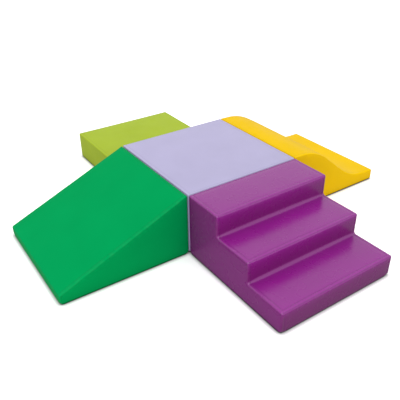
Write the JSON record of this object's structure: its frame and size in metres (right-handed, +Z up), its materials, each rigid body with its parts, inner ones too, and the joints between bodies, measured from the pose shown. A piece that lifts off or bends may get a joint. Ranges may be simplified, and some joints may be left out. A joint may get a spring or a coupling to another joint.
{
  "type": "soft play foam climber",
  "caption": "Modular soft play climber: square foam platform with ramp, steps, wave slide and low block held to its sides by hook-and-loop.",
  "frame": {"origin": "on the floor under the middle of the platform, which is the middle of the whole layout's underside", "axes": "+Z up; steps at +X, wave slide at +Y, low block at -X, ramp at -Y"},
  "size_m": [1.8098, 1.8098, 0.302],
  "materials": {
    "lavender_vinyl": "satin lavender vinyl with a fine grain",
    "purple_vinyl": "satin purple vinyl with a fine grain",
    "yellow_vinyl": "satin yellow vinyl with a fine grain",
    "lime_vinyl": "satin lime vinyl with a fine grain",
    "green_vinyl": "satin green vinyl with a fine grain",
    "foam": "open-cell polyurethane foam",
    "non_slip_fabric": "dark dotted non-slip fabric",
    "zip_tape": "grey woven tape with nylon teeth",
    "zip_slider": "plain grey die-cast metal",
    "hook_and_loop": "white hook-and-loop tape"
  },
  "bodies": {
    "platform": {"platform_cover": "lavender_vinyl", "platform_foam_core": "foam", "platform_base_panel": "non_slip_fabric", "platform_zip_stringer_inner": "zip_tape", "platform_zip_stringer_outer": "zip_tape", "platform_loop_strip_steps_left": "hook_and_loop", "platform_loop_strip_steps_right": "hook_and_loop", "platform_loop_strip_wave_left": "hook_and_loop", "platform_loop_strip_wave_right": "hook_and_loop", "platform_loop_strip_block_left": "hook_and_loop", "platform_loop_strip_block_right": "hook_and_loop", "platform_loop_strip_ramp_left": "hook_and_loop", "platform_loop_strip_ramp_right": "hook_and_loop"},
    "steps": {"steps_cover": "purple_vinyl", "steps_foam_core": "foam", "steps_base_panel": "non_slip_fabric", "steps_zip_stringer_inner": "zip_tape", "steps_zip_stringer_outer": "zip_tape", "steps_hook_strip_left": "hook_and_loop", "steps_hook_strip_right": "hook_and_loop"},
    "wave": {"wave_cover": "yellow_vinyl", "wave_foam_core": "foam", "wave_base_panel": "non_slip_fabric", "wave_zip_stringer_inner": "zip_tape", "wave_zip_stringer_outer": "zip_tape", "wave_hook_strip_left": "hook_and_loop", "wave_hook_strip_right": "hook_and_loop"},
    "block": {"block_cover": "lime_vinyl", "block_foam_core": "foam", "block_base_panel": "non_slip_fabric", "block_zip_stringer_inner": "zip_tape", "block_zip_stringer_outer": "zip_tape", "block_hook_strip_left": "hook_and_loop", "block_hook_strip_right": "hook_and_loop"},
    "ramp": {"ramp_cover": "green_vinyl", "ramp_foam_core": "foam", "ramp_base_panel": "non_slip_fabric", "ramp_zip_stringer_inner": "zip_tape", "ramp_zip_stringer_outer": "zip_tape", "ramp_hook_strip_left": "hook_and_loop", "ramp_hook_strip_right": "hook_and_loop"},
    "platform_zip": {"platform_zip_slider": "zip_slider"},
    "steps_zip": {"steps_zip_slider": "zip_slider"},
    "wave_zip": {"wave_zip_slider": "zip_slider"},
    "block_zip": {"block_zip_slider": "zip_slider"},
    "ramp_zip": {"ramp_zip_slider": "zip_slider"}
  },
  "joints": [
    {"name": "steps_slide", "type": "slide", "parent": "platform", "child": "steps", "axis": [1, 0, 0], "range_m": [0, 0.3]},
    {"name": "wave_slide", "type": "slide", "parent": "platform", "child": "wave", "axis": [0, 1, 0], "range_m": [0, 0.3]},
    {"name": "block_slide", "type": "slide", "parent": "platform", "child": "block", "axis": [-1, 0, 0], "range_m": [0, 0.3]},
    {"name": "ramp_slide", "type": "slide", "parent": "platform", "child": "ramp", "axis": [0, -1, 0], "range_m": [0, 0.3]},
    {"name": "platform_zip_run", "type": "slide", "parent": "platform", "child": "platform_zip", "axis": [0, 1, 0], "range_m": [0, 0.474]},
    {"name": "steps_zip_run", "type": "slide", "parent": "steps", "child": "steps_zip", "axis": [0, 1, 0], "range_m": [0, 0.474]},
    {"name": "wave_zip_run", "type": "slide", "parent": "wave", "child": "wave_zip", "axis": [-1, 0, 0], "range_m": [0, 0.474]},
    {"name": "block_zip_run", "type": "slide", "parent": "block", "child": "block_zip", "axis": [0, -1, 0], "range_m": [0, 0.474]},
    {"name": "ramp_zip_run", "type": "slide", "parent": "ramp", "child": "ramp_zip", "axis": [1, 0, 0], "range_m": [0, 0.474]}
  ]
}
